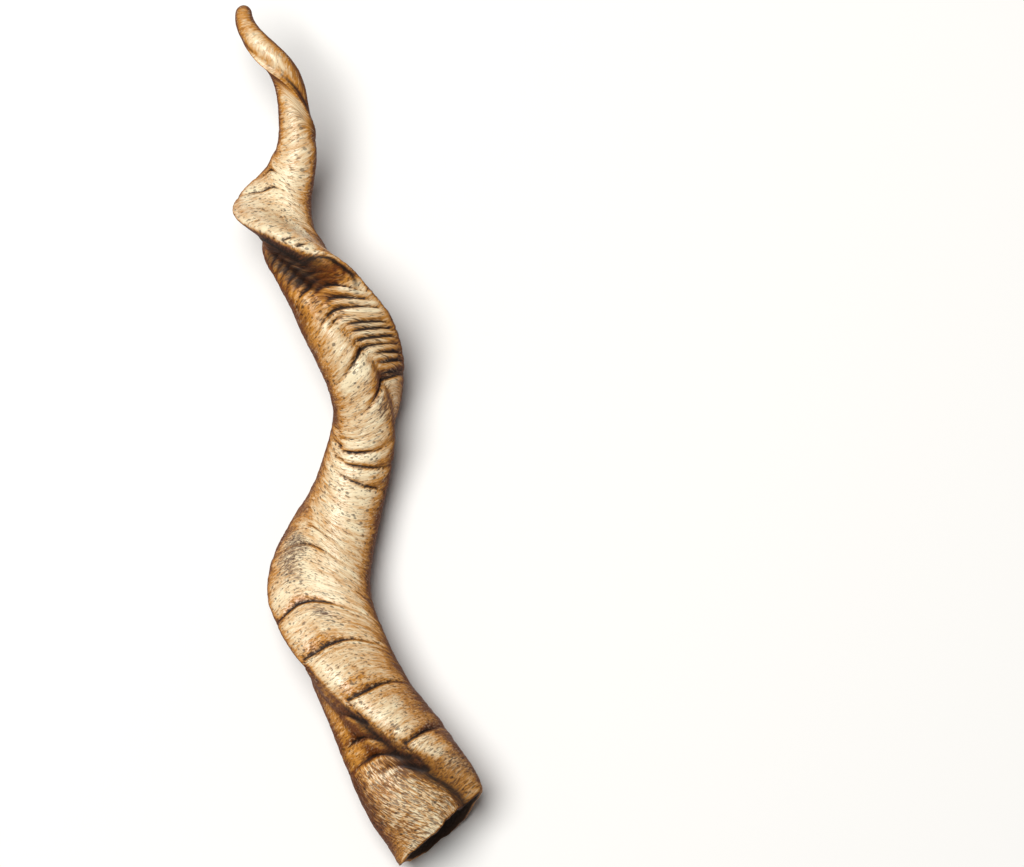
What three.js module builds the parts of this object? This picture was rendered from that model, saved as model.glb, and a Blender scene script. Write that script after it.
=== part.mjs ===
// Markhor horn: one horn sheath, a left-handed corkscrew with a sharp keel, lying at rest on the ground.
// Millimetres. +Z is up and +Y runs along the corkscrew's axis to the tip.
// The origin is on the ground, under the middle of the horn's bounding box.
import * as THREE from 'three';

// Sections down the corkscrew's axis, from the tip to the base.
//   at      distance down the axis, from beside the tip
//   turn    place of the centreline round the axis, in degrees: 0 is -X, 90 is +Z
//   swing   distance of the centreline from the axis
//   wide    half width of the section towards the keel
//   thick   half width of the section across that
//   keel    rise of the keel, as a share of the half width
//   under   spread of the keel's lower side, in radians: small under the sharp lip, large on a rounded roll
//   scoop   depth of the hollow face under the keel, as a share of the half width
//   crease  extra depth of the fold between the keel and that face, as a share of the half width
const SECTIONS = [
  { at: -3, turn: -396, swing: 21, wide: 6, thick: 6,
    keel: 0, under: 0.24, scoop: 0, crease: 0 },
  { at: 45, turn: -272, swing: 13.5, wide: 10.5, thick: 11,
    keel: 0.14, under: 0.24, scoop: 0.05, crease: 0 },
  { at: 85, turn: -173, swing: 8, wide: 12, thick: 13,
    keel: 0.1, under: 0.22, scoop: 0.1, crease: 0 },
  { at: 126, turn: -98, swing: 11.5, wide: 19, thick: 18.2,
    keel: 0.14, under: 0.2, scoop: 0.16, crease: 0 },
  { at: 165, turn: -25, swing: 14.5, wide: 26, thick: 20.5,
    keel: 0.36, under: 0.14, scoop: 0.26, crease: 0.02 },
  { at: 207, turn: 64, swing: 18, wide: 30.5, thick: 23.5,
    keel: 0.42, under: 0.11, scoop: 0.32, crease: 0.05 },
  { at: 264, turn: 132, swing: 22, wide: 30.5, thick: 27.5,
    keel: 0.4, under: 0.22, scoop: 0.3, crease: 0 },
  { at: 330, turn: 200, swing: 28, wide: 28, thick: 26.5,
    keel: 0.32, under: 0.3, scoop: 0.22, crease: 0 },
  { at: 401, turn: 271, swing: 28, wide: 33, thick: 29.5,
    keel: 0.26, under: 0.3, scoop: 0.2, crease: 0 },
  { at: 476, turn: 346, swing: 30.2, wide: 38.3, thick: 34,
    keel: 0.22, under: 0.2, scoop: 0.18, crease: 0 },
  { at: 564, turn: 418, swing: 26, wide: 41, thick: 37,
    keel: 0.26, under: 0.3, scoop: 0.2, crease: 0.03 },
  { at: 629, turn: 462, swing: 20, wide: 48, thick: 44.5,
    keel: 0.26, under: 0.13, scoop: 0.2, crease: 0.07 },
  { at: 677, turn: 510, swing: 14, wide: 38, thick: 38.5,
    keel: 0.26, under: 0.13, scoop: 0.18, crease: 0.07 },
];
const TIP = SECTIONS[0].at;
const LENGTH = SECTIONS.at(-1).at;

// The lower end of the axis bends sideways towards +X.
const BEND_START = 483;
const BEND = 14;

// The whole corkscrew is flatter than it is wide: its depth along Z, as a share of a round one's.
const FLATNESS = 0.85;

// The keel runs ahead of the centreline round the axis, in degrees, and behind it on the turn at the tip.
const KEEL_LEAD = 13;
const TIP_LEAD = -64;
const LEAD_START = 98;
const LEAD_END = 136;

// The keel's upper side is a broad swell, narrow at the tip, and its lower side falls into the scoop.
// Angles and spreads are in radians. The scoop lies further round where the keel is a rounded roll.
const KEEL_UPPER_SPREAD = 0.6;
const KEEL_TIP_SPREAD = 0.2;
const SCOOP_ANGLE = 0.45;
const SCOOP_PER_SPREAD = 1.2;
const SCOOP_SPREAD = 0.4;
const CREASE_ANGLE = 0.24;
const CREASE_SPREAD = 0.1;

// Growth rings lie in planes tilted forward at the keel, in degrees, and run on to the base along the keel.
// That lead of the keel dies away round the horn, and down it towards the base.
const RING_TILT = 26;
const RING_LAG = 26;
const LAG_UPPER_SPREAD = 1.4;
const LAG_BASE_SPREAD = 0.6;
const LAG_LOWER_SPREAD = 0.35;
const LAG_FULL = 70;
const LAG_FADE_START = 404;
const LAG_SPREAD_END = 484;
const LAG_FADE_END = 620;

// Deep grooves between the yearly swells: growth ring, depth and reach, then the middle angle and its spread.
const GROOVES = [
  { ring: 131, deep: 0.8, reach: 4, middle: -1.7, spread: 0.9 },
  { ring: 143, deep: 1.2, reach: 5, middle: -1.5, spread: 1 },
  { ring: 346, deep: 2.2, reach: 5, middle: 2.7, spread: 0.9 },
  { ring: 360, deep: 2.2, reach: 5, middle: 2.6, spread: 1 },
  { ring: 374, deep: 2, reach: 5, middle: 2.7, spread: 0.8 },
  { ring: 428, deep: 0.9, reach: 4, middle: -1.9, spread: 0.9 },
  { ring: 445, deep: 1, reach: 4, middle: -1.5, spread: 1 },
  { ring: 497, deep: 2.4, reach: 7, middle: -0.7, spread: 1.1 },
  { ring: 530, deep: 3, reach: 8, middle: -0.5, spread: 1.1 },
  { ring: 569, deep: 3, reach: 8, middle: -0.3, spread: 1.1 },
  { ring: 604, deep: 2.2, reach: 5, middle: 0.8, spread: 0.6 },
  { ring: 617, deep: 3.2, reach: 8, middle: -0.2, spread: 0.8 },
];

// Crowded ridges on the hollow face under the keel's longest turn.
const RIDGE_FROM = 206;
const RIDGE_TO = 322;
const RIDGE_PITCH = 8.25;
const RIDGE_DEPTH = 1.6;
const RIDGE_CENTRE = 0.6;
const RIDGE_SPREAD = 0.8;
const RIDGE_FADE = 12;

// The tip is rounded, and the base is an open sheath.
// Its rim lies in a plane at the ends of its long axis, and reaches past that plane between them.
const TIP_ROUND = 6;
const TIP_ROWS = 4;
const BASE_NORMAL = new THREE.Vector3(0.52, -0.86, 0.14).normalize();
const BASE_BLEND = 154;
const RIM_BELLY = 4;
const RIM_BELLY_ANGLE = 1.6;
const RIM_BELLY_REACH = 60;
const RIM_WALL = 5;
const HOLLOW_DEPTH = 120;
const HOLLOW_TAPER = 0.55;
const HOLLOW_ROWS = 9;

// Rows of points down the horn, and points round each row, closer together along the keel.
const ROW_STEP = 10;
const ROW_GAP = 1.4;
const SIDES = 36;
const KEEL_CROWDING = 0.55;

// The way the horn settles: tipped lengthwise, in degrees, until the turn nearest the base and the rim touch.
const REST_PITCH = 5.43;

const HORN_COLOUR = '#b48a4e';

// Half the span over which the centreline's direction is taken.
const DIRECTION_SPAN = 0.5;

const radians = THREE.MathUtils.degToRad;
const ramp = THREE.MathUtils.smoothstep;

// Share of the way from low to high, from 0 to 1.
function share(x, low, high) {
  return THREE.MathUtils.clamp((x - low) / (high - low), 0, 1);
}

// An angle brought to the range from -pi to pi.
function wrapped(angle) {
  return THREE.MathUtils.euclideanModulo(angle + Math.PI, 2 * Math.PI) - Math.PI;
}

// A bell with a spread of its own on each side of its centre.
function bell(x, spreadBelow, spreadAbove = spreadBelow) {
  return Math.exp(-((x / (x < 0 ? spreadBelow : spreadAbove)) ** 2));
}

// Slope of a column of SECTIONS at one section, from its neighbours.
function slope(column, i) {
  const before = SECTIONS[Math.max(i - 1, 0)];
  const after = SECTIONS[Math.min(i + 1, SECTIONS.length - 1)];
  return (after[column] - before[column]) / (after.at - before.at);
}

// A column of SECTIONS, read at any distance down the axis along smooth cubic pieces.
function read(column, at) {
  const last = SECTIONS.length - 2;
  const above = SECTIONS.findLastIndex((section) => section.at <= at);
  const i = THREE.MathUtils.clamp(above, 0, last);
  const from = SECTIONS[i];
  const to = SECTIONS[i + 1];
  const gap = to.at - from.at;
  const t = (at - from.at) / gap;
  const rise = t * t * (3 - 2 * t);
  const leave = t * (1 - t) * (1 - t) * gap * slope(column, i);
  const arrive = t * t * (1 - t) * gap * slope(column, i + 1);
  return from[column] + (to[column] - from[column]) * rise + leave - arrive;
}

function centreline(at) {
  const turn = radians(read('turn', at));
  const swing = read('swing', at);
  const bend = BEND * Math.max(0, (at - BEND_START) / (LENGTH - BEND_START)) ** 2;
  return new THREE.Vector3(bend - swing * Math.cos(turn), -at, swing * Math.sin(turn));
}

// The two directions that a growth ring is drawn in: out to the keel, and across it on the base side.
function ringDirections(at) {
  const down = centreline(at + DIRECTION_SPAN).sub(centreline(at - DIRECTION_SPAN)).normalize();
  const lead = TIP_LEAD + (KEEL_LEAD - TIP_LEAD) * ramp(at, LEAD_START, LEAD_END);
  const keelTurn = radians(read('turn', at) + lead);
  const out = new THREE.Vector3(-Math.cos(keelTurn), 0, Math.sin(keelTurn));
  out.projectOnPlane(down).normalize();
  const across = new THREE.Vector3().crossVectors(down, out);
  const tilt = radians(RING_TILT);
  const normal = down.clone().multiplyScalar(Math.cos(tilt)).addScaledVector(out, Math.sin(tilt));
  normal.lerp(BASE_NORMAL, ramp(at, LENGTH - BASE_BLEND, LENGTH)).normalize();
  const lean = normal.dot(down);
  for (const direction of [out, across]) {
    direction.addScaledVector(down, -direction.dot(normal) / lean);
  }
  return { out, across };
}

// Distance from the centreline to the smooth skin, at an angle from the keel towards the base side.
function radius(at, angle) {
  const wide = read('wide', at);
  const thick = read('thick', at);
  const oval = (wide * thick) / Math.hypot(thick * Math.cos(angle), wide * Math.sin(angle));
  const under = read('under', at);
  const grown = ramp(at, LEAD_START, LEAD_END);
  const upper = KEEL_TIP_SPREAD + (KEEL_UPPER_SPREAD - KEEL_TIP_SPREAD) * grown;
  const keel = read('keel', at) * bell(wrapped(angle), upper, under);
  const scoopAngle = SCOOP_ANGLE + SCOOP_PER_SPREAD * under;
  const scoop = read('scoop', at) * bell(wrapped(angle - scoopAngle), SCOOP_SPREAD);
  const crease = read('crease', at) * bell(wrapped(angle - CREASE_ANGLE), CREASE_SPREAD);
  return oval * (1 + keel - scoop - crease);
}

// Depth of the growth grooves and ridges below the smooth skin.
function relief(ring, angle) {
  let depth = 0;
  for (const { ring: place, deep, reach, middle, spread } of GROOVES) {
    const near = Math.exp(-Math.abs(ring - place) / reach);
    depth += deep * near * bell(wrapped(angle - middle), spread);
  }
  const starting = ramp(ring, RIDGE_FROM, RIDGE_FROM + RIDGE_FADE);
  const ending = ramp(ring, RIDGE_TO - RIDGE_FADE, RIDGE_TO);
  const wave = 0.5 + 0.5 * Math.cos((2 * Math.PI * (ring - RIDGE_FROM)) / RIDGE_PITCH);
  const face = bell(wrapped(angle - RIDGE_CENTRE), RIDGE_SPREAD);
  depth += RIDGE_DEPTH * starting * (1 - ending) * wave * face;
  return depth;
}

// Share of the full section that is left in the rounded tip.
function tipShare(ring) {
  const short = 1 - share(ring, TIP, TIP + TIP_ROUND);
  return Math.sqrt(1 - short * short);
}

function flattened(point) {
  return point.setZ(point.z * FLATNESS);
}

function pointAt(at, angle, distance) {
  const { out, across } = ringDirections(at);
  const point = centreline(at);
  point.addScaledVector(out, distance * Math.cos(angle));
  point.addScaledVector(across, distance * Math.sin(angle));
  return flattened(point);
}

// How far a growth ring runs on towards the base, at an angle from the keel.
function lag(ring, angle) {
  const fade = ramp(ring, 0, LAG_FULL) * (1 - share(ring, LAG_FADE_START, LAG_FADE_END));
  const narrowed = share(ring, LAG_FADE_START, LAG_SPREAD_END);
  const spread = LAG_UPPER_SPREAD + (LAG_BASE_SPREAD - LAG_UPPER_SPREAD) * narrowed;
  return RING_LAG * fade * bell(wrapped(angle), spread, LAG_LOWER_SPREAD);
}

// How far the rim reaches past its plane, at an angle from the keel.
function belly(at, angle) {
  const round = 0.5 + 0.5 * Math.cos(2 * (angle - RIM_BELLY_ANGLE));
  return RIM_BELLY * round * ramp(at, LENGTH - RIM_BELLY_REACH, LENGTH);
}

// A point on the outside: rows follow the growth rings.
function outsidePoint(ring, angle) {
  const lagged = ring + lag(ring, angle);
  const at = lagged + belly(lagged, angle);
  const distance = (radius(at, angle) - relief(ring, angle)) * tipShare(ring);
  return pointAt(at, angle, distance);
}

// A point on the wall of the hollow, which narrows from the rim to a blunt end.
function hollowPoint(depth, angle) {
  const even = LENGTH - HOLLOW_DEPTH * depth;
  const at = even + belly(even, angle);
  const distance = (radius(at, angle) - RIM_WALL) * (1 - depth) ** HOLLOW_TAPER;
  return pointAt(at, angle, distance);
}

// Distances of the rows: the rounded tip, even steps, and extra rows at every groove and ridge.
function ringRows() {
  const rows = [];
  for (const { ring, reach } of GROOVES) {
    rows.push(ring, ring - reach / 2, ring + reach / 2);
  }
  for (let ring = RIDGE_FROM; ring <= RIDGE_TO; ring += RIDGE_PITCH / 2) {
    rows.push(ring);
  }
  for (let i = 1; i <= TIP_ROWS; i++) {
    rows.push(TIP + TIP_ROUND * (1 - Math.cos((i * Math.PI) / (2 * TIP_ROWS))));
  }
  for (let ring = TIP + TIP_ROUND + ROW_STEP; ring < LENGTH; ring += ROW_STEP) {
    if (ring < RIDGE_FROM || ring > RIDGE_TO) {
      rows.push(ring);
    }
  }
  rows.sort((a, b) => a - b);
  const spaced = rows.filter((ring, i) => i === 0 || ring - rows[i - 1] > ROW_GAP);
  return [...spaced.filter((ring) => LENGTH - ring > ROW_GAP), LENGTH];
}

function hornGeometry() {
  const angles = Array.from({ length: SIDES }, (_, i) => {
    const even = (2 * Math.PI * i) / SIDES;
    return even - KEEL_CROWDING * Math.sin(even);
  });
  const rows = ringRows().map((ring) => angles.map((angle) => outsidePoint(ring, angle)));
  for (let i = 0; i < HOLLOW_ROWS; i++) {
    rows.push(angles.map((angle) => hollowPoint(i / HOLLOW_ROWS, angle)));
  }
  const tip = flattened(centreline(TIP));
  const hollowEnd = flattened(centreline(LENGTH - HOLLOW_DEPTH));
  const points = [...rows.flat(), tip, hollowEnd];
  const tipIndex = points.length - 2;
  const hollowIndex = points.length - 1;
  const faces = [];
  for (let j = 0; j < SIDES; j++) {
    const k = (j + 1) % SIDES;
    faces.push(tipIndex, k, j);
    for (let row = 0; row < rows.length - 1; row++) {
      const a = row * SIDES;
      const b = a + SIDES;
      faces.push(a + j, a + k, b + k, a + j, b + k, b + j);
    }
    const lastRow = (rows.length - 1) * SIDES;
    faces.push(lastRow + j, lastRow + k, hollowIndex);
  }
  const geometry = new THREE.BufferGeometry().setFromPoints(points);
  geometry.setIndex(faces);
  return geometry;
}

// Laid down as it settles, with the lowest point on the ground and the box centred over the origin.
function laidDown(geometry) {
  geometry.rotateX(radians(REST_PITCH));
  geometry.computeBoundingBox();
  const { min, max } = geometry.boundingBox;
  geometry.translate(-(min.x + max.x) / 2, -(min.y + max.y) / 2, -min.z);
  geometry.computeVertexNormals();
  return geometry;
}

const keratin = new THREE.MeshStandardMaterial({ color: HORN_COLOUR, roughness: 0.55, metalness: 0 });
const horn = new THREE.Mesh(laidDown(hornGeometry()), keratin);
horn.name = 'horn';

const model = new THREE.Group();
model.add(horn);

export default model;
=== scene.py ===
import math

import bpy
import numpy as np
from bpy.props import FloatProperty, FloatVectorProperty, IntProperty, PointerProperty
from mathutils import Matrix, Vector


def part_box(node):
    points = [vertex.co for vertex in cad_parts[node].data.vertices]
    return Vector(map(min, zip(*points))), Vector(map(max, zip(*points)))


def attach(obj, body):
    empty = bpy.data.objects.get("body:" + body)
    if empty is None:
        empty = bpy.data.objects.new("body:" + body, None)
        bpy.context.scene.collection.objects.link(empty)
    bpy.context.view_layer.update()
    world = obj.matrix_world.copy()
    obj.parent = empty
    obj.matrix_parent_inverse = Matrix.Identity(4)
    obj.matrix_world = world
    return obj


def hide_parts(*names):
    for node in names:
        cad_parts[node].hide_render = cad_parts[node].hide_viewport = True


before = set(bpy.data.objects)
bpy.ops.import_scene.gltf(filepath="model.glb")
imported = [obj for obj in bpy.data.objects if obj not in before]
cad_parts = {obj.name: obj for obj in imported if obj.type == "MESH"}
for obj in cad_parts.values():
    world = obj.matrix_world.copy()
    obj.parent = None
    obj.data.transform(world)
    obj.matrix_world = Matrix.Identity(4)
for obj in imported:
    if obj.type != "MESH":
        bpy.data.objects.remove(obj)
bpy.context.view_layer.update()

bl_info = {
    "name": "Markhor Horn",
    "version": (1, 0, 0),
    "blender": (4, 5, 0),
    "location": "View3D > Sidebar > Horn",
    "description": "Grows a corkscrew horn with a keel, growth rings and an open base, laid down in a studio",
    "category": "Add Mesh",
}

# Shape of the horn, in millimetres and degrees, before it is laid down.
# The corkscrew's axis runs down -Y from the tip, and +Z is the side that faces up.
MM = 0.001
SECTION_COLUMNS = ("at", "turn", "swing", "wide", "thick", "keel", "under", "scoop", "crease")
SECTIONS = np.array([
    (-3, -396, 21, 6, 6, 0, 0.24, 0, 0),
    (45, -272, 13.5, 10.5, 11, 0.14, 0.24, 0.05, 0),
    (85, -173, 8, 12, 12.7, 0.03, 0.22, 0.04, 0),
    (126, -98, 11.5, 18.7, 18.2, 0.06, 0.2, 0.1, 0),
    (165, -25, 14.5, 26, 20.5, 0.36, 0.14, 0.26, 0.02),
    (207, 64, 18, 30.5, 23.5, 0.42, 0.11, 0.32, 0.05),
    (264, 132, 22, 30.5, 27.5, 0.4, 0.22, 0.3, 0),
    (330, 200, 28, 28, 26.5, 0.32, 0.3, 0.22, 0),
    (401, 271, 28, 33, 29.5, 0.26, 0.3, 0.2, 0),
    (476, 346, 30.2, 38.3, 34, 0.22, 0.2, 0.18, 0),
    (564, 418, 26, 41, 37, 0.26, 0.3, 0.2, 0.03),
    (629, 462, 20, 48, 44.5, 0.26, 0.13, 0.2, 0.07),
    (677, 510, 14, 38, 38.5, 0.26, 0.13, 0.18, 0.07),
])
TIP = SECTIONS[0, 0]
LENGTH = SECTIONS[-1, 0]
BEND_START = 483
BEND = 14
FLATNESS = 0.85
KEEL_LEAD = 13
TIP_LEAD = -64
LEAD_START = 98
LEAD_END = 136
RING_TILT = 26
RING_LAG = 26
LAG_UPPER_SPREAD = 1.4
LAG_BASE_SPREAD = 0.6
LAG_LOWER_SPREAD = 0.35
LAG_FULL = 70
LAG_FADE_START = 404
LAG_SPREAD_END = 484
LAG_FADE_END = 620
BASE_NORMAL = np.array([0.52, -0.86, 0.14])
BASE_BLEND = 154
RIM_BELLY = 4
RIM_BELLY_ANGLE = 1.6
RIM_BELLY_REACH = 60
RIM_CHIPPED = 14
RIM_WAVES = ((5, 0.7, 1.2), (11, 0.4, 0.3), (23, 0.2, 2.0))
TIP_ROUND = 6
REST_PITCH = 5.43
DIRECTION_SPAN = 0.5

# Rows and sides of the fine skin: rows follow the growth rings, and sides crowd along the keel.
TIP_ROWS = 8
OUTSIDE_ROWS = 840
HOLLOW_ROWS = 24
SIDES = 112
KEEL_CROWDING = 0.5

# What the fine skin carries: inside is 0 on the outer face and runs from its start to 1 down the hollow.
INSIDE_START = 1e-4
SLEEVE_NUMBERS = ("at", "ring", "angle", "inside")
SECTION_NUMBERS = ("wide", "thick", "keel", "under", "scoop", "crease")

# Growth grooves: growth place, depth and reach in millimetres, middle angle from the keel, spread of angle,
# and lean per radian.
GROOVES = (
    (130, 1.6, 1.5, -1.5, 1.1, 0),
    (144.5, 1.8, 1.5, -1.3, 1.2, 0),
    (189, 1.6, 1.5, -0.05, 0.16, -9),
    (196, 1.8, 1.5, -0.05, 0.18, -9),
    (205, 1.4, 1.5, 0.7, 0.6, 0),
    (211, 1.4, 1.5, 0.7, 0.6, 0),
    (217, 1.6, 1.5, 0.6, 0.6, 0),
    (223, 1.6, 1.5, 0.6, 0.6, 0),
    (229, 1.8, 2, 0.6, 0.6, 0),
    (235, 2.2, 2, 0.65, 0.6, 0),
    (240.5, 2.4, 2, 0.25, 0.4, 0),
    (249, 2.4, 2, 0.2, 0.38, 0),
    (256, 2.2, 2.5, 0.55, 0.8, 0),
    (261.5, 1.4, 2, 0.8, 0.4, 0),
    (268, 2.0, 2, 0.3, 0.4, 0),
    (273, 2.4, 2.5, 0.3, 0.5, 0),
    (279.5, 2.2, 2.5, 0.4, 0.6, 0),
    (285, 2.6, 3, 0.9, 1.1, 0),
    (291, 2.2, 2, 0.25, 0.35, 0),
    (297, 2.4, 2, 0.3, 0.35, 0),
    (304, 1.6, 2, 0.4, 0.4, 0),
    (309, 3.2, 5, 0.9, 1.0, 3),
    (332, 1.0, 4, 2.9, 0.7, 0),
    (346, 2.2, 5, 2.7, 0.9, -4),
    (360, 2.2, 5, 2.6, 1.0, -8),
    (374, 2.0, 5, 2.7, 0.8, -12),
    (428, 1.2, 2, -1.9, 0.9, 0),
    (445, 1.4, 2, -1.5, 1.0, 0),
    (497, 3.0, 8, -0.7, 1.1, 0),
    (530, 3.6, 9, -0.5, 1.1, 0),
    (569, 3.6, 9, -0.3, 1.1, 0),
    (588, 2.8, 4, 0.7, 0.5, 0),
    (604, 3.4, 5, 0.6, 0.6, 0),
    (617, 3.8, 9, -0.2, 0.8, 0),
)

# Weathered patches: distance down the axis, angle from the keel, reach along and round, and strength.
STAINS = (
    (92, 0.6, 12, 9, 0.7),
    (201, -0.4, 9, 14, 0.5),
    (244, 0.86, 7, 7, 0.8),
    (325, 1.5, 12, 14, 0.95),
    (369, -3.1, 10, 16, 0.4),
    (457, -2.9, 14, 9, 0.5),
    (468, -0.75, 24, 19, 1.0),
    (450, -1.2, 10, 16, 0.8),
    (510, -0.95, 9, 12, 0.95),
    # This patch is painted shade just below the crease at the base, in the grey of a stain.
    (628, 0.55, 12, 10, 0.7),
    (650, -0.1, 22, 14, 0.9),
)

# Patches made paler, in the same terms, added to the painted light on the upward faces. A negative strength
# is a patch made darker.
PALER_PATCHES = (
    (182, -0.45, 22, 13, 0.3),
    (208, -0.7, 16, 14, 0.5),
    (238, 1.15, 28, 17, -0.36),
    (345, 0.5, 22, 14, 0.35),
    (5, 0.0, 30, 60, -0.14),
    (70, 0.0, 50, 60, -0.1),
    (594, 1.0, 22, 24, -0.35),
    (196, -0.04, 34, 3, 0.3),
    (238, -0.45, 22, 5, 0.5),
    (244, 0.0, 12, 8, -0.5),
)

# The photograph's frame and how the horn stands in it.
PHOTO_WIDTH = 1024
PHOTO_HEIGHT = 867
MM_PER_PIXEL = 0.803
TIP_PIXEL = (265.97, 5.0)
HORN_MIDDLE_PIXEL = (345, 433)
AXIS_LEAN = 9.48

# Stage, in metres: the key light stands right, up and out from the horn's middle, as the camera sees it.
KEY_SIZE = 3.4
KEY_PLACE = (-1.3, 1.2, 5.1)
FLOOR_SIZE = 12
FLOOR_DROP = 0.0002
FLOOR_ROUGHNESS = 0.9
VIEW_END = 100


def linear(hex_colour):
    """Turn an sRGB hex colour into linear red, green and blue."""
    channels = [int(hex_colour[i:i + 2], 16) / 255 for i in (1, 3, 5)]
    return tuple(c / 12.92 if c <= 0.04045 else ((c + 0.055) / 1.055) ** 2.4 for c in channels)


def add(tree, kind, inputs=(), **settings):
    """Add a node. Inputs are given in order or by name: a node or socket is linked, a value is set."""
    node = tree.nodes.new(kind)
    for name, value in settings.items():
        setattr(node, name, value)
    pairs = inputs.items() if isinstance(inputs, dict) else enumerate(inputs)
    for key, value in pairs:
        if isinstance(value, bpy.types.Node):
            value = value.outputs[0]
        if isinstance(value, bpy.types.NodeSocket):
            tree.links.new(value, node.inputs[key])
        elif value is not None:
            node.inputs[key].default_value = value
    return node


class HornForm(bpy.types.PropertyGroup):
    """Sizes of the horn that a user may change."""

    rim_wall: FloatProperty(name="Rim wall", description="Thickness of the sheath at the open base",
                            default=0.005, min=0.002, max=0.012, subtype="DISTANCE")
    hollow_depth: FloatProperty(name="Hollow depth", description="Depth of the open base",
                                default=0.120, min=0.02, max=0.2, subtype="DISTANCE")
    groove_depth: FloatProperty(name="Groove depth", description="Share of the grooves' full depth",
                                default=1.0, min=0.0, max=2.0, subtype="FACTOR")
    unevenness: FloatProperty(name="Unevenness", description="Share of the full height of lumps and ribs",
                              default=1.0, min=0.0, max=2.0, subtype="FACTOR")
    seed: IntProperty(name="Seed", description="Seed of the uneven growth", default=4, min=0)


class HornFinish(bpy.types.PropertyGroup):
    """Colours of the keratin."""

    # The pale keratin is also the painted light on upward faces and the colour of painted glints.
    pale: FloatVectorProperty(name="Pale keratin", description="Rubbed, pale keratin on the swells",
                              default=linear("#f4e1ba"), min=0.0, max=1.0, size=3, subtype="COLOR")
    tan: FloatVectorProperty(name="Tan keratin", description="Main colour of the horn",
                             default=linear("#c5842f"), min=0.0, max=1.0, size=3, subtype="COLOR")
    # The brown is also the painted shade on the sides turned away from the light.
    brown: FloatVectorProperty(name="Brown streaks", description="Streaks along the growth rings",
                               default=linear("#6c370a"), min=0.0, max=1.0, size=3, subtype="COLOR")
    umber: FloatVectorProperty(name="Umber ticks", description="Short dark marks along the rings and fibres",
                               default=linear("#4c280c"), min=0.0, max=1.0, size=3, subtype="COLOR")
    # This dark is grime in cracks and pits, and also painted shade in grooves, under the lip and in the
    # crease.
    dark: FloatVectorProperty(name="Groove dirt", description="Dirt in grooves, pits and cracks",
                              default=linear("#180c05"), min=0.0, max=1.0, size=3, subtype="COLOR")
    # The dark brown inside of the open base is painted shade.
    hollow: FloatVectorProperty(name="Hollow", description="Inside of the open base",
                                default=linear("#3a2413"), min=0.0, max=1.0, size=3, subtype="COLOR")
    stain: FloatVectorProperty(name="Grey stain", description="Weathered grey-brown patches",
                               default=linear("#7d6650"), min=0.0, max=1.0, size=3, subtype="COLOR")


class HornStage(bpy.types.PropertyGroup):
    """Floor, light and camera."""

    floor: FloatVectorProperty(name="Floor", description="Colour of the plain floor",
                               default=linear("#f4f2ee"), min=0.0, max=1.0, size=3, subtype="COLOR")
    key_power: FloatProperty(name="Key light", description="Power of the large soft light over the horn",
                             default=358.0, min=0.0, unit="POWER")
    fill: FloatProperty(name="Fill light", description="Strength of the even light all round",
                        default=0.1, min=0.0)
    camera_distance: FloatProperty(name="Camera distance", description="Distance of the camera from the horn",
                                   default=6.0, min=1.0, subtype="DISTANCE")


def ramp(x, low, high):
    """Smooth step from 0 at low to 1 at high."""
    t = np.clip((x - low) / (high - low), 0, 1)
    return t * t * (3 - 2 * t)


def read(column, at):
    """A column of SECTIONS at any distance down the axis, along smooth cubic pieces."""
    stops = SECTIONS[:, 0]
    values = SECTIONS[:, SECTION_COLUMNS.index(column)]
    before = np.r_[0, np.arange(len(stops) - 1)]
    after = np.r_[np.arange(1, len(stops)), len(stops) - 1]
    slopes = (values[after] - values[before]) / (stops[after] - stops[before])
    i = np.clip(np.searchsorted(stops, at, side="right") - 1, 0, len(stops) - 2)
    gap = stops[i + 1] - stops[i]
    t = (at - stops[i]) / gap
    rise = t * t * (3 - 2 * t)
    leave = t * (1 - t) ** 2 * gap * slopes[i]
    arrive = t * t * (1 - t) * gap * slopes[i + 1]
    return values[i] + (values[i + 1] - values[i]) * rise + leave - arrive


def centreline(at):
    """Points of the corkscrew's middle."""
    turn = np.radians(read("turn", at))
    swing = read("swing", at)
    bend = BEND * np.clip((at - BEND_START) / (LENGTH - BEND_START), 0, None) ** 2
    return np.stack([bend - swing * np.cos(turn), -at, swing * np.sin(turn)], axis=-1)


def unit(vectors):
    return vectors / np.linalg.norm(vectors, axis=-1, keepdims=True)


def dot(a, b):
    return np.sum(a * b, axis=-1, keepdims=True)


def ring_directions(at):
    """The two directions that a growth ring is drawn in: out to the keel, and across it."""
    down = unit(centreline(at + DIRECTION_SPAN) - centreline(at - DIRECTION_SPAN))
    lead = TIP_LEAD + (KEEL_LEAD - TIP_LEAD) * ramp(at, LEAD_START, LEAD_END)
    keel_turn = np.radians(read("turn", at) + lead)
    out = np.stack([-np.cos(keel_turn), np.zeros_like(at), np.sin(keel_turn)], axis=-1)
    out = unit(out - dot(out, down) * down)
    across = np.cross(down, out)
    tilt = math.radians(RING_TILT)
    share = ramp(at, LENGTH - BASE_BLEND, LENGTH)[..., None]
    normal = down * math.cos(tilt) + out * math.sin(tilt)
    normal = unit(normal * (1 - share) + unit(BASE_NORMAL) * share)
    lean = dot(normal, down)
    return [direction - down * dot(direction, normal) / lean for direction in (out, across)]


def rest_turn():
    """The turn that lays the horn down as it settles."""
    return Matrix.Rotation(math.radians(REST_PITCH), 3, "X")


def laid_down(vectors):
    """Flatten the corkscrew and turn it as it lies, in metres."""
    flat = vectors * np.array([1, 1, FLATNESS]) * MM
    return flat @ np.array(rest_turn()).T


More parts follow.
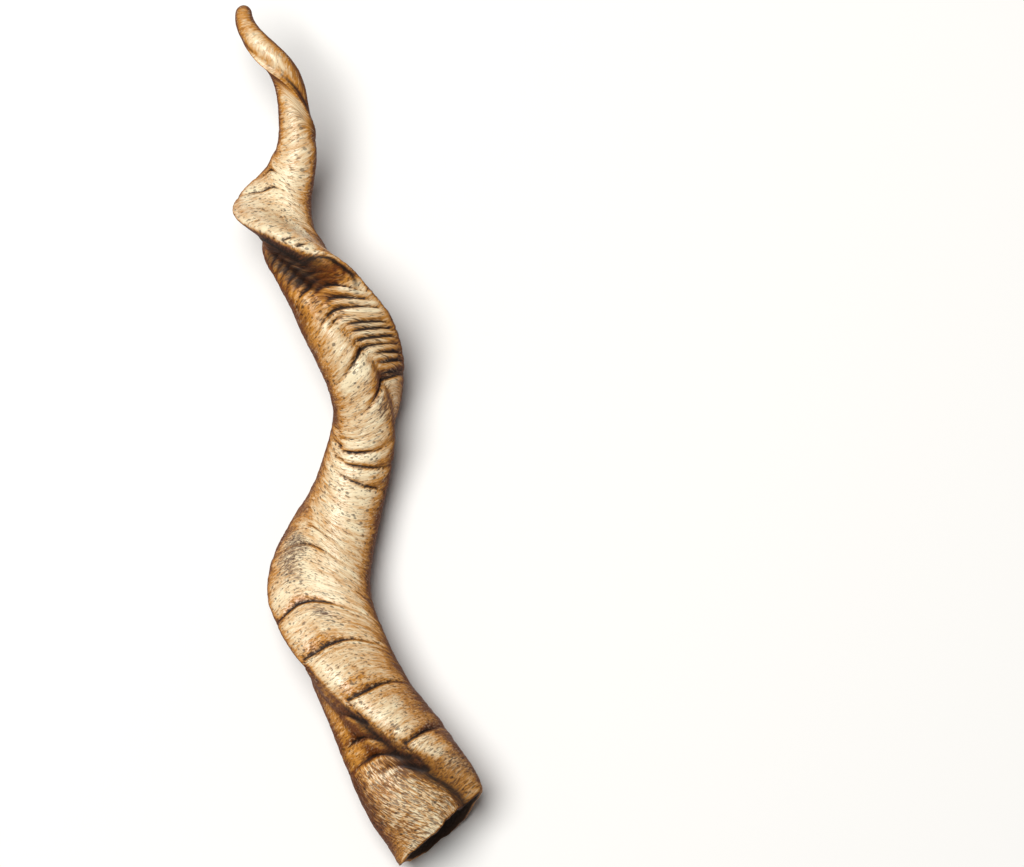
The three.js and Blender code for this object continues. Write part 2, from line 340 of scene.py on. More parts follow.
def sleeve(form):
    """Rows of points on the corkscrew's middle, with what the section rule needs at each one."""
    even = np.linspace(-math.pi, math.pi, SIDES, endpoint=False)
    sides = even - KEEL_CROWDING * np.sin(even)
    tip_rings = TIP + TIP_ROUND * (1 - np.cos(np.linspace(0, math.pi / 2, TIP_ROWS + 1)[1:]))
    rings = np.r_[tip_rings, np.linspace(TIP + TIP_ROUND, LENGTH, OUTSIDE_ROWS + 1)[1:]]
    shares = np.arange(HOLLOW_ROWS) / HOLLOW_ROWS
    hollow_at = LENGTH - shares * form.hollow_depth / MM
    ring = np.r_[rings, hollow_at][:, None] + 0 * sides
    angle = sides + 0 * ring
    inside = np.r_[0 * rings, shares + INSIDE_START][:, None] + 0 * sides
    narrowed = np.interp(ring, (LAG_FADE_START, LAG_SPREAD_END), (LAG_UPPER_SPREAD, LAG_BASE_SPREAD))
    spread = np.where(angle < 0, narrowed, LAG_LOWER_SPREAD)
    fade = ramp(ring, 0, LAG_FULL) * np.interp(ring, (LAG_FADE_START, LAG_FADE_END), (1, 0))
    at = ring + RING_LAG * fade * (inside == 0) * np.exp(-(angle / spread) ** 2)
    belly = RIM_BELLY * (0.5 + 0.5 * np.cos(2 * (angle - RIM_BELLY_ANGLE)))
    at = at + belly * ramp(at, LENGTH - RIM_BELLY_REACH, LENGTH)
    chips = sum(height * np.sin(count * angle + phase) for count, height, phase in RIM_WAVES)
    at = at + chips * ramp(at, LENGTH - RIM_CHIPPED, LENGTH)
    poles = {"ring": (TIP, LENGTH - form.hollow_depth / MM), "inside": (0.0, 1.0), "angle": (0.0, 0.0)}
    poles["at"] = poles["ring"]
    grid = {"ring": ring, "angle": angle, "inside": inside, "at": at}
    values = {name: np.r_[grid[name].ravel(), poles[name]] for name in grid}
    return values, len(rings) + HOLLOW_ROWS


def sleeve_faces(rows):
    """Quads between the rows and fans at the tip and at the end of the hollow."""
    here = np.arange(SIDES)
    after = (here + 1) % SIDES
    first = (np.arange(rows - 1) * SIDES)[:, None]
    quads = np.stack([first + here, first + after, first + SIDES + after, first + SIDES + here], axis=-1)
    tip = rows * SIDES
    last = (rows - 1) * SIDES
    tip_fan = np.stack([np.full(SIDES, tip), after, here], axis=-1)
    end_fan = np.stack([last + here, last + after, np.full(SIDES, tip + 1)], axis=-1)
    return quads.reshape(-1, 4).tolist() + tip_fan.tolist() + end_fan.tolist()


def sleeve_object(form):
    """A mesh collapsed on the corkscrew's middle, carrying the path for the growth nodes."""
    values, rows = sleeve(form)
    at = values["at"]
    out, across = ring_directions(at)
    mesh = bpy.data.meshes.new("horn_sleeve")
    mesh.from_pydata(laid_down(centreline(at)).tolist(), [], sleeve_faces(rows))
    numbers = {name: values[name] for name in SLEEVE_NUMBERS}
    numbers.update({name: read(name, at) for name in SECTION_NUMBERS})
    for name, data in numbers.items():
        mesh.attributes.new(name, "FLOAT", "POINT").data.foreach_set("value", data.astype(np.float32))
    for name, vectors in (("out", out), ("across", across)):
        data = laid_down(vectors).astype(np.float32).ravel()
        mesh.attributes.new(name, "FLOAT_VECTOR", "POINT").data.foreach_set("vector", data)
    return bpy.data.objects.new("horn_sleeve", mesh)


# Kinds of node that are used most.
MATH = "ShaderNodeMath"
MAP = "ShaderNodeMapRange"
MIX = "ShaderNodeMix"
VECTOR = "ShaderNodeVectorMath"
SMOOTH = "SMOOTHSTEP"

# Section: spreads are in radians, and shares are of the oval's radius.
# A place along the horn is given by four edges: where a thing starts, is full, starts to fade and ends.
KEEL_UPPER_SPREAD = 0.6
TIP_KEEL_SPREAD = 0.2
SCOOP_ANGLE = 0.45
SCOOP_PER_SPREAD = 1.2
SCOOP_SPREAD = 0.4
CREASE_ANGLE = 0.24
CREASE_SPREAD = 0.1
TIP_SCOOP_ANGLE = -0.55
TIP_SCOOP_SPREAD = 0.3
TIP_SCOOP_SHARE = 0.08
TIP_SCOOP_ALONG = (30, 60, 66, 122)
BEAD_ANGLE = -0.04
BEAD_SPREAD = 0.085
BEAD_HEIGHT = 1.2
TIP_BEAD = (30, 50, 70, 95)
LIP_BEAD = (150, 180, 340, 400)
HOLLOW_TAPER = 0.55

# Under the keel, growth falls back faster than the rows do: on the ridged face and at the base.
LOWER_LAG = (22, 40)
LOWER_LAG_FADE = (400, 580)
LOWER_LAG_REACH = 0.25
LOWER_LAG_START = (430, 500)
LAG_SEAM = (0.06, 0.16)
RIDGED_ALONG = (190, 215, 325, 380)
RIDGE_REACH_ALONG = (245, 320)
RIDGE_REACH = (0.13, 0.52)
FAR_LAG = 6
FAR_LAG_ROUND = (0.7, 2.2)

# The lip's inner edge swings up the keel's upper side for a stretch, and ridges shrink to notches at it.
LIP_EDGE = -0.28
LIP_EDGE_ALONG = (226, 238, 250, 268)
LIP_SMOOTH = (-0.02, 0.12)
LIP_NOTCH = 0.3

# Uneven growth: size round the horn, size along it and height in millimetres, then detail.
UNEVEN = {
    "wander": (45, 45, 3.0, 1.0),
    "lump": (32, 32, 1.0, 2.0),
    "rib": (40, 5, 0.8, 2.0),
    "line": (22, 1.7, 0.45, 2.0),
    "flute": (3.2, 45, 1.1, 2.0),
}
SEED_STEP = 7.3
YOUNG_ALONG = (0.0, 0.3 * LENGTH)
YOUNG_RELIEF = 0.25

# Grooves and rim, with lengths in millimetres, and the shelf under the crease at the base.
CRACK_REACH = 1.4
CRACK_SHARE = 0.7
CRACK_DARK_DEPTH = 2
# Below each groove the lobe's edge is painted paler: a painted highlight.
SHOULDER_PLACE = 3.5
SHOULDER_REACH = 1.8
SHOULDER_FULL_DEPTH = 4
SUNK_DEPTHS = (0.9, 4.0)
SHELF_ALONG = (600, 612)
SHELF_ROUND = (0.14, 0.24, 1.6, 2.4)
RIM_ROUND = 2.2
RIM_DROP = 1.0
RIM_WORN = 6

# The side that faces up, turned a little towards the key light, is painted paler: painted light.
LIT_SIDE = (-0.04, 0.06, 1.0)
LIT_AND_RUBBED_BLUR = 3

# Painted shade by the keel: under the lip of the upper turn, in the crease above the base and near the tip,
# with a painted shadow line under the lip and one along the crease.
# A bell is a middle angle and a spread.
LIP_SHADE_ALONG = (190, 204, 226, 262)
LIP_SHADE_ROUND = (0.03, 0.1, 0.7, 1.5)
LIP_LINE_ALONG = (182, 198, 248, 275)
LIP_LINE_BELL = (0.16, 0.08)
CREASE_SHADE_ALONG = (555, 590)
CREASE_SHADE_BELL = (CREASE_ANGLE, 0.17)
CREASE_SHADE = 0.85
FOLD_LINE_BELL = (0.22, 0.07)
TIP_SHADE_ALONG = (45, 65, 92, 108)
TIP_SHADE_BELL = (-0.4, 0.25)


def mixed(tree, start, parts):
    """A starting value, and each part times its gain added to it."""
    for value, gain in parts:
        start = add(tree, MATH, [value, gain, start], operation="MULTIPLY_ADD")
    return start


def largest(tree, values):
    """The largest of some values."""
    top = values[0]
    for value in values[1:]:
        top = add(tree, MATH, [top, value], operation="MAXIMUM")
    return top


def hump(tree, off, reach):
    """A bell over a distance: 1 at 0, dying away over the reach."""
    scaled = add(tree, MATH, [off, reach], operation="DIVIDE")
    squared = add(tree, MATH, [scaled, scaled], operation="MULTIPLY")
    falling = add(tree, MATH, [squared, -1.0], operation="MULTIPLY")
    return add(tree, MATH, [falling], operation="EXPONENT")


def fading(tree, off, reach):
    """1 at 0, falling steadily towards nothing with distance."""
    back = add(tree, MATH, [off, -1.0], operation="MULTIPLY")
    falling = add(tree, MATH, [back, reach], operation="DIVIDE")
    return add(tree, MATH, [falling], operation="EXPONENT")


def from_angle(tree, value, middle):
    """The angle from a middle angle, the short way round."""
    off = add(tree, MATH, [value, middle], operation="SUBTRACT")
    return add(tree, MATH, [off, -math.pi, math.pi], operation="WRAP")


def bell(tree, value, middle, spread):
    """A bell round the middle angle: 1 there, dying away over the spread."""
    return hump(tree, from_angle(tree, value, middle), spread)


def plateau(tree, value, edges):
    """1 between the middle two edges, dying away smoothly to the outer two."""
    start, full, fade, end = edges
    rise = add(tree, MAP, [value, start, full, 0.0, 1.0], interpolation_type=SMOOTH)
    fall = add(tree, MAP, [value, fade, end, 1.0, 0.0], interpolation_type=SMOOTH)
    return add(tree, MATH, [rise, fall], operation="MULTIPLY")


def from_lip(tree, path):
    """Angle from the lip's inner edge."""
    edge = add(tree, MATH, [plateau(tree, path["at"], LIP_EDGE_ALONG), LIP_EDGE], operation="MULTIPLY")
    return add(tree, MATH, [path["angle"], edge], operation="SUBTRACT")


def section_radius(tree, path, lip_angle):
    """The horn's section: an oval with a keel, a bead on the keel, and a scooped face under it."""
    at, angle = path["at"], path["angle"]
    over = add(tree, MATH, [path["thick"], path["cosine"]], operation="MULTIPLY")
    beside = add(tree, MATH, [path["wide"], path["sine"]], operation="MULTIPLY")
    over_squared = add(tree, MATH, [over, over], operation="MULTIPLY")
    both_squared = add(tree, MATH, [beside, beside, over_squared], operation="MULTIPLY_ADD")
    reach = add(tree, MATH, [both_squared], operation="SQRT")
    area = add(tree, MATH, [path["wide"], path["thick"]], operation="MULTIPLY")
    oval = add(tree, MATH, [area, reach], operation="DIVIDE")

    grown = add(tree, MAP, [at, LEAD_START, LEAD_END, 0.0, 1.0], interpolation_type=SMOOTH)
    upper = add(tree, MAP, [grown, 0.0, 1.0, TIP_KEEL_SPREAD, KEEL_UPPER_SPREAD])
    is_under = add(tree, MATH, [angle, 0.0], operation="GREATER_THAN")
    spread = add(tree, MIX, [is_under, None, upper, path["under"]], data_type="FLOAT")
    keel = add(tree, MATH, [bell(tree, angle, 0.0, spread), path["keel"], 1.0], operation="MULTIPLY_ADD")
    middle = add(tree, MATH, [path["under"], SCOOP_PER_SPREAD, SCOOP_ANGLE], operation="MULTIPLY_ADD")
    scoop = add(tree, MATH, [bell(tree, angle, middle, SCOOP_SPREAD), path["scoop"]], operation="MULTIPLY")
    share = add(tree, MATH, [keel, scoop], operation="SUBTRACT")
    fold = bell(tree, angle, CREASE_ANGLE, CREASE_SPREAD)
    crease = add(tree, MATH, [fold, path["crease"]], operation="MULTIPLY")
    share = add(tree, MATH, [share, crease], operation="SUBTRACT")
    tip_face = bell(tree, angle, TIP_SCOOP_ANGLE, TIP_SCOOP_SPREAD)
    dip = add(tree, MATH, [tip_face, plateau(tree, at, TIP_SCOOP_ALONG)], operation="MULTIPLY")
    share = add(tree, MATH, [dip, -TIP_SCOOP_SHARE, share], operation="MULTIPLY_ADD")
    smooth = add(tree, MATH, [oval, share], operation="MULTIPLY")

    beaded = add(tree, MATH, [plateau(tree, at, TIP_BEAD), plateau(tree, at, LIP_BEAD)], operation="ADD")
    roll = bell(tree, lip_angle, BEAD_ANGLE, BEAD_SPREAD)
    bead = add(tree, MATH, [roll, beaded], operation="MULTIPLY")
    return add(tree, MATH, [bead, BEAD_HEIGHT, smooth], operation="MULTIPLY_ADD")


def growth_place(tree, path):
    """Where a point lies in the order of growth: growth runs ahead along the keel."""
    at, angle = path["at"], path["angle"]
    amount = add(tree, MAP, [at, *LOWER_LAG_FADE, *LOWER_LAG])
    lag = add(tree, MATH, [fading(tree, angle, LOWER_LAG_REACH), amount], operation="MULTIPLY")
    under = add(tree, MATH, [at, lag], operation="SUBTRACT")
    side = add(tree, MAP, [angle, *LAG_SEAM, 0.0, 1.0], interpolation_type=SMOOTH)
    based = add(tree, MAP, [at, *LOWER_LAG_START, 0.0, 1.0], interpolation_type=SMOOTH)
    share = add(tree, MATH, [side, based], operation="MULTIPLY")
    place = add(tree, MIX, [share, None, path["ring"], under], data_type="FLOAT")

    reach = add(tree, MAP, [at, *RIDGE_REACH_ALONG, *RIDGE_REACH])
    far = add(tree, MAP, [angle, *FAR_LAG_ROUND, 0.0, FAR_LAG], interpolation_type=SMOOTH)
    lag = add(tree, MATH, [fading(tree, angle, reach), RING_LAG, far], operation="MULTIPLY_ADD")
    ridged = add(tree, MATH, [at, lag], operation="SUBTRACT")
    below = add(tree, MATH, [angle, 0.0], operation="GREATER_THAN")
    share = add(tree, MATH, [below, plateau(tree, at, RIDGED_ALONG)], operation="MULTIPLY")
    return add(tree, MIX, [share, None, place, ridged], data_type="FLOAT")


def spots(tree, path, radius, places):
    """Soft round patches on the skin, summed."""
    total = add(tree, MATH, [0.0, 0.0], operation="ADD")
    for middle_at, middle, along, around, strength in places:
        up = add(tree, MATH, [path["at"], middle_at], operation="SUBTRACT")
        arc = add(tree, MATH, [from_angle(tree, path["angle"], middle), radius], operation="MULTIPLY")
        spot = add(tree, MATH, [hump(tree, up, along), hump(tree, arc, around)], operation="MULTIPLY")
        total = add(tree, MATH, [spot, strength, total], operation="MULTIPLY_ADD")
    return total


def uneven_growth(tree, given, growth):
    """Uneven patterns, each about 0, made from noise stretched round or along the horn."""
    uneven = {}
    for number, (name, (around, along, height, detail)) in enumerate(UNEVEN.items()):
        scale = (1 / around, 1 / around, 1 / along)
        stretched = add(tree, VECTOR, [growth, scale], operation="MULTIPLY")
        phase = add(tree, MATH, [given.outputs["Seed"], SEED_STEP * number], operation="ADD")
        inputs = {"Vector": stretched, "W": phase, "Scale": 1.0, "Detail": detail}
        noise = add(tree, "ShaderNodeTexNoise", inputs, noise_dimensions="4D")
        centred = add(tree, MATH, [noise, 0.5], operation="SUBTRACT")
        gain = add(tree, MATH, [given.outputs["Unevenness"], 2.0 * height], operation="MULTIPLY")
        uneven[name] = add(tree, MATH, [centred, gain], operation="MULTIPLY")
    return uneven


def grooves(tree, path, place, lip_angle):
    """Grooves with a narrow crack: their depth, how dark the crack is and a painted highlight on the lobe's
    edge below it.
    """
    depth = add(tree, MATH, [0.0, 0.0], operation="ADD")
    crack = add(tree, MATH, [0.0, 0.0], operation="ADD")
    shoulder_highlight = add(tree, MATH, [0.0, 0.0], operation="ADD")
    under_lip = add(tree, MAP, [lip_angle, *LIP_SMOOTH, LIP_NOTCH, 1.0], interpolation_type=SMOOTH)
    for groove_place, deep, reach, middle, spread, lean in GROOVES:
        aside = from_angle(tree, path["angle"], middle)
        leaning = add(tree, MATH, [aside, -lean, place], operation="MULTIPLY_ADD")
        off = add(tree, MATH, [leaning, groove_place], operation="SUBTRACT")
        away = add(tree, MATH, [off], operation="ABSOLUTE")
        below = add(tree, MATH, [off, SHOULDER_PLACE], operation="SUBTRACT")
        shown = hump(tree, aside, spread)
        if middle > 0 and RIDGED_ALONG[1] < groove_place < RIDGED_ALONG[2]:
            shown = add(tree, MATH, [shown, under_lip], operation="MULTIPLY")
        wide = add(tree, MATH, [fading(tree, away, reach), shown], operation="MULTIPLY")
        narrow = add(tree, MATH, [fading(tree, away, CRACK_REACH), shown], operation="MULTIPLY")
        swell = add(tree, MATH, [hump(tree, below, SHOULDER_REACH), shown], operation="MULTIPLY")
        depth = mixed(tree, depth, ((wide, deep), (narrow, deep * CRACK_SHARE)))
        dark = min(1.0, deep / CRACK_DARK_DEPTH)
        crack = add(tree, MATH, [narrow, dark, crack], operation="MULTIPLY_ADD")
        lit_and_rubbed = deep / SHOULDER_FULL_DEPTH
        shoulder_highlight = add(tree, MATH, [swell, lit_and_rubbed, shoulder_highlight], operation="MULTIPLY_ADD")
    return depth, crack, shoulder_highlight


def painted_keel_shade(tree, path, lip_angle):
    """Painted shade under the lip, in the crease and near the tip, and a painted shadow line that edges the
    lip and one that edges the crease.
    """
    at, angle = path["at"], path["angle"]
    creased = add(tree, MAP, [at, *CREASE_SHADE_ALONG, 0.0, CREASE_SHADE], interpolation_type=SMOOTH)
    shares = {
        "lip": (plateau(tree, at, LIP_SHADE_ALONG), plateau(tree, lip_angle, LIP_SHADE_ROUND)),
        "crease": (creased, bell(tree, angle, *CREASE_SHADE_BELL)),
        "tip": (plateau(tree, at, TIP_SHADE_ALONG), bell(tree, angle, *TIP_SHADE_BELL)),
        "lip line": (plateau(tree, at, LIP_LINE_ALONG), bell(tree, lip_angle, *LIP_LINE_BELL)),
        "fold line": (creased, bell(tree, angle, *FOLD_LINE_BELL)),
    }
    parts = {}
    for name, (along, around) in shares.items():
        parts[name] = add(tree, MATH, [along, around], operation="MULTIPLY")
    keel_shade = largest(tree, (parts["lip"], parts["crease"], parts["tip"]))
    shade_lines = largest(tree, (parts["lip line"], parts["fold line"]))
    return keel_shade, shade_lines


def skin_offset(tree, path, radius, depth, rim_wall, is_inside):
    """How a point moves out from the corkscrew's middle: to the skin, rounded at the tip, or the hollow."""
    outside = add(tree, MATH, [radius, depth], operation="SUBTRACT")
    short = add(tree, MAP, [path["ring"], TIP, TIP + TIP_ROUND, 1.0, 0.0])
    short_squared = add(tree, MATH, [short, short], operation="MULTIPLY")
    tip_share = add(tree, MATH, [1.0, short_squared], operation="SUBTRACT")
    tip_root = add(tree, MATH, [tip_share], operation="SQRT")
    outside = add(tree, MATH, [outside, tip_root], operation="MULTIPLY")
    walled = add(tree, MATH, [radius, rim_wall], operation="SUBTRACT")
    left = add(tree, MATH, [1.0, path["inside"]], operation="SUBTRACT", use_clamp=True)
    taper = add(tree, MATH, [left, HOLLOW_TAPER], operation="POWER")
    hollow = add(tree, MATH, [walled, taper], operation="MULTIPLY")
    distance = add(tree, MIX, [is_inside, None, outside, hollow], data_type="FLOAT")
    along_keel = add(tree, MATH, [distance, path["cosine"]], operation="MULTIPLY")
    along_side = add(tree, MATH, [distance, path["sine"]], operation="MULTIPLY")
    keel_part = add(tree, VECTOR, {0: path["out"], "Scale": along_keel}, operation="SCALE")
    side_part = add(tree, VECTOR, {0: path["across"], "Scale": along_side}, operation="SCALE")
    return add(tree, VECTOR, [keel_part, side_part], operation="ADD")


def growth_tree(form, keratin):
    """Geometry nodes that swell the sleeve to the keeled section and grow its rings, cracks and flutes."""
    tree = bpy.data.node_groups.new("horn_growth", "GeometryNodeTree")
    tree.interface.new_socket("Geometry", in_out="INPUT", socket_type="NodeSocketGeometry")
    sizes = {
        "Rim Wall": form.rim_wall / MM,
        "Groove Depth": form.groove_depth,
        "Unevenness": form.unevenness,
        "Seed": float(form.seed),
    }
    sockets = {}
    for name in sizes:
        sockets[name] = tree.interface.new_socket(name, in_out="INPUT", socket_type="NodeSocketFloat")
    tree.interface.new_socket("Geometry", in_out="OUTPUT", socket_type="NodeSocketGeometry")
    given = add(tree, "NodeGroupInput")

    path = {}
    for name in SLEEVE_NUMBERS + SECTION_NUMBERS:
        node = add(tree, "GeometryNodeInputNamedAttribute", {"Name": name}, data_type="FLOAT")
        path[name] = node.outputs[0]
    for name in ("out", "across"):
        node = add(tree, "GeometryNodeInputNamedAttribute", {"Name": name}, data_type="FLOAT_VECTOR")
        path[name] = node.outputs[0]
    at, ring, angle = path["at"], path["ring"], path["angle"]
    path["cosine"] = add(tree, MATH, [angle], operation="COSINE")
    path["sine"] = add(tree, MATH, [angle], operation="SINE")
    lip_angle = from_lip(tree, path)
    radius = section_radius(tree, path, lip_angle)
    place = growth_place(tree, path)

    # The straightened horn: patterns of growth are drawn in its millimetres.
    growth_x = add(tree, MATH, [radius, path["cosine"]], operation="MULTIPLY")
    growth_y = add(tree, MATH, [radius, path["sine"]], operation="MULTIPLY")
    growth = add(tree, "ShaderNodeCombineXYZ", [growth_x, growth_y, ring])
    uneven = uneven_growth(tree, given, growth)
    wandering = add(tree, MATH, [place, uneven["wander"]], operation="ADD")
    depth, crack, shoulder_highlight = grooves(tree, path, wandering, lip_angle)
    depth = add(tree, MATH, [depth, given.outputs["Groove Depth"]], operation="MULTIPLY")
    sunk = add(tree, MAP, [depth, *SUNK_DEPTHS, 0.0, 1.0])

    # Lumps everywhere, lengthwise flutes on the shelf at the base, and ribs and fine lines elsewhere.
    shelf_rise = add(tree, MAP, [place, *SHELF_ALONG, 0.0, 1.0], interpolation_type=SMOOTH)
    shelf = add(tree, MATH, [shelf_rise, plateau(tree, angle, SHELF_ROUND)], operation="MULTIPLY")
    ringed = add(tree, MATH, [1.0, shelf], operation="SUBTRACT")
    shares = {"flute": shelf, "rib": ringed, "line": ringed, "lump": 1.0}
    depth = mixed(tree, depth, [(uneven[name], share) for name, share in shares.items()])
    small = add(tree, MAP, [at, *YOUNG_ALONG, YOUNG_RELIEF, 1.0])
    depth = add(tree, MATH, [depth, small], operation="MULTIPLY")
    from_rim = add(tree, MATH, [LENGTH, ring], operation="SUBTRACT")
    rounded = fading(tree, from_rim, RIM_ROUND)
    depth = add(tree, MATH, [rounded, RIM_DROP, depth], operation="MULTIPLY_ADD")
    is_inside = add(tree, MATH, [path["inside"], 0.0], operation="GREATER_THAN")
    offset = skin_offset(tree, path, radius, depth, given.outputs["Rim Wall"], is_inside)
    grown = add(tree, "GeometryNodeSetPosition", {"Geometry": given.outputs["Geometry"], "Offset": offset})

    # What the keratin's colour follows.
    # Painted shade by the keel, and a painted shadow line along the lip and one along the crease.
    keel_shade, shade_lines = painted_keel_shade(tree, path, lip_angle)
    # Faces turned up and a little towards the key light are painted paler: painted light, with patches made
    # paler or darker added to it.
    upward = add(tree, VECTOR, [add(tree, "GeometryNodeInputNormal"), LIT_SIDE], operation="DOT_PRODUCT")
    patch_tone = spots(tree, path, radius, PALER_PATCHES)
    lit_and_patched = add(tree, MATH, [upward.outputs["Value"], patch_tone], operation="ADD")
    blur = {"Value": lit_and_patched, "Iterations": LIT_AND_RUBBED_BLUR}
    weights = {
        "crack": crack,
        "sunk": sunk,
        "keel_shade": keel_shade,
        "line": shade_lines,
        # Wear at the rim, and a painted highlight on the lobe's edge below each groove.
        "rim_wear_and_highlight": add(tree, MATH, [fading(tree, from_rim, RIM_WORN), shoulder_highlight], operation="ADD"),
        "stain": spots(tree, path, radius, STAINS),
        "shelf": shelf,
        "lit_and_rubbed": add(tree, "GeometryNodeBlurAttribute", blur, data_type="FLOAT"),
        "hollow": is_inside,
    }
    for name, value in weights.items():
        stored = {"Geometry": grown, "Name": name, "Value": value}
        grown = add(tree, "GeometryNodeStoreNamedAttribute", stored, data_type="FLOAT", domain="POINT")
    stored = {"Geometry": grown, "Name": "growth", "Value": growth}
    grown = add(tree, "GeometryNodeStoreNamedAttribute", stored, data_type="FLOAT_VECTOR", domain="POINT")
    grown = add(tree, "GeometryNodeSetShadeSmooth", [grown])
    plain = add(tree, "GeometryNodeRealizeInstances", [grown])
    finished = add(tree, "GeometryNodeSetMaterial", {"Geometry": plain, "Material": keratin})
    add(tree, "NodeGroupOutput", [finished])
    return tree, {sockets[name].identifier: value for name, value in sizes.items()}


# Patterns of the keratin's colour: size round the horn and along it in millimetres, then detail.
# The real fibres and pores are finer than the picture shows, so the ticks are drawn a little coarser.
COLOUR_PATTERNS = {
    "streak": (9.0, 1.5, 4.0),
    "fibre": (1.4, 11.0, 4.0),
    "cloud": (38.0, 38.0, 3.0),
    "band": (60.0, 7.0, 2.0),
    "tick": (4.0, 1.1, 1.5),
    "fibre_tick": (1.2, 4.5, 1.5),
}
PATTERN_ROUGHNESS = 0.6
PATTERN_DISTORTION = 0.6
PIT_SIZE = (4.5, 4.5, 3.2)
WEIGHTS = ("crack", "sunk", "keel_shade", "line", "stain", "shelf", "lit_and_rubbed", "rim_wear_and_highlight", "hollow")

# Tone: where brown, tan and pale keratin lie on it, and how much each thing adds to it.
TONE_STOPS = (0.08, 0.48, 0.92)
GRAIN_TONE = 0.9
PATTERN_TONES = (("cloud", 0.7), ("band", 0.5))
# Grooves and the shade by the keel darken the tone as painted shade; the lobe edges below grooves lighten it
# as a painted highlight, and the rim as wear.
WEIGHT_TONES = (("sunk", -0.45), ("keel_shade", -0.3), ("shelf", -0.66), ("rim_wear_and_highlight", 0.35))
FIBRE_TONE = 1.0

# How much closer each thing crowds the ticks.
CROWDING = (("stain", 0.05), ("keel_shade", 0.1), ("sunk", 0.06), ("shelf", 0.1))

# Maps of the material: a value's two ends, and what they become. Ticks end as strong as MARKED_ALONG says.
# The side tone paints faces turned from the light browner and faces turned to it paler: painted light and
# shade.
SIDE_TONE = (0.1, 1.0, -1.1, -0.22)
STAINED = (0.26, 0.56, 0.0, 0.85)
MARKED_ALONG = (10.0, 140.0, 0.25, 0.72)
TICKED = (0.56, 0.7, 0.0)
# Pale flecks on the lit faces are painted glints.
GLINTED = (0.42, 0.34, 0.0, 0.5)
PIT_REACH = (0.4, 1.0, 0.0, 0.38)
PIT_EDGE = (-0.04, 0.08, 0.0, 0.9)
GRIMY = (0.65, 1.05, 0.0, 0.95)
# The next two maps darken the painted shade in grooves and by the keel, and the painted shadow line along the
# lip and the crease.
SHADED = (0.98, 1.5, 0.0, 0.92)
LINED = (0.9, 1.5, 0.0, 0.95)
SATIN = (0.3, 0.95, 0.62, 0.3)
SHEEN = (0.3, 0.95, 0.12, 0.5)
DULL = 0.75

# Gains of the tick in cracks, of grooves and of the shade by the keel in the painted shade, and of the grain
# in the painted shadow line.
CRACK_TICK = 0.8
SUNK_SHADE_GAIN = 0.5
KEEL_SHADE_GAIN = 0.9
LINE_GRAIN = 1.2

# The bump: marks and ticks are sunk in the grain.
MARK_RELIEF = -1.0
TICK_RELIEF = -0.8
BUMP_STRENGTH = 0.5
BUMP_HEIGHT = 0.8 * MM
KERATIN_IOR = 1.54


def keratin_pits(tree, growth):
    """Pores in the keratin: round pits of many sizes, scattered by cells."""
    scale = tuple(1 / size for size in PIT_SIZE)
    place = add(tree, VECTOR, [growth, scale], operation="MULTIPLY")
    cell = add(tree, "ShaderNodeTexVoronoi", {"Vector": place, "Scale": 1.0})
    pick = add(tree, "ShaderNodeSeparateColor", [cell.outputs["Color"]])
    limit = add(tree, MAP, [pick.outputs[0], *PIT_REACH])
    edge = add(tree, MATH, [limit, cell.outputs["Distance"]], operation="SUBTRACT")
    return add(tree, MAP, [edge, *PIT_EDGE])


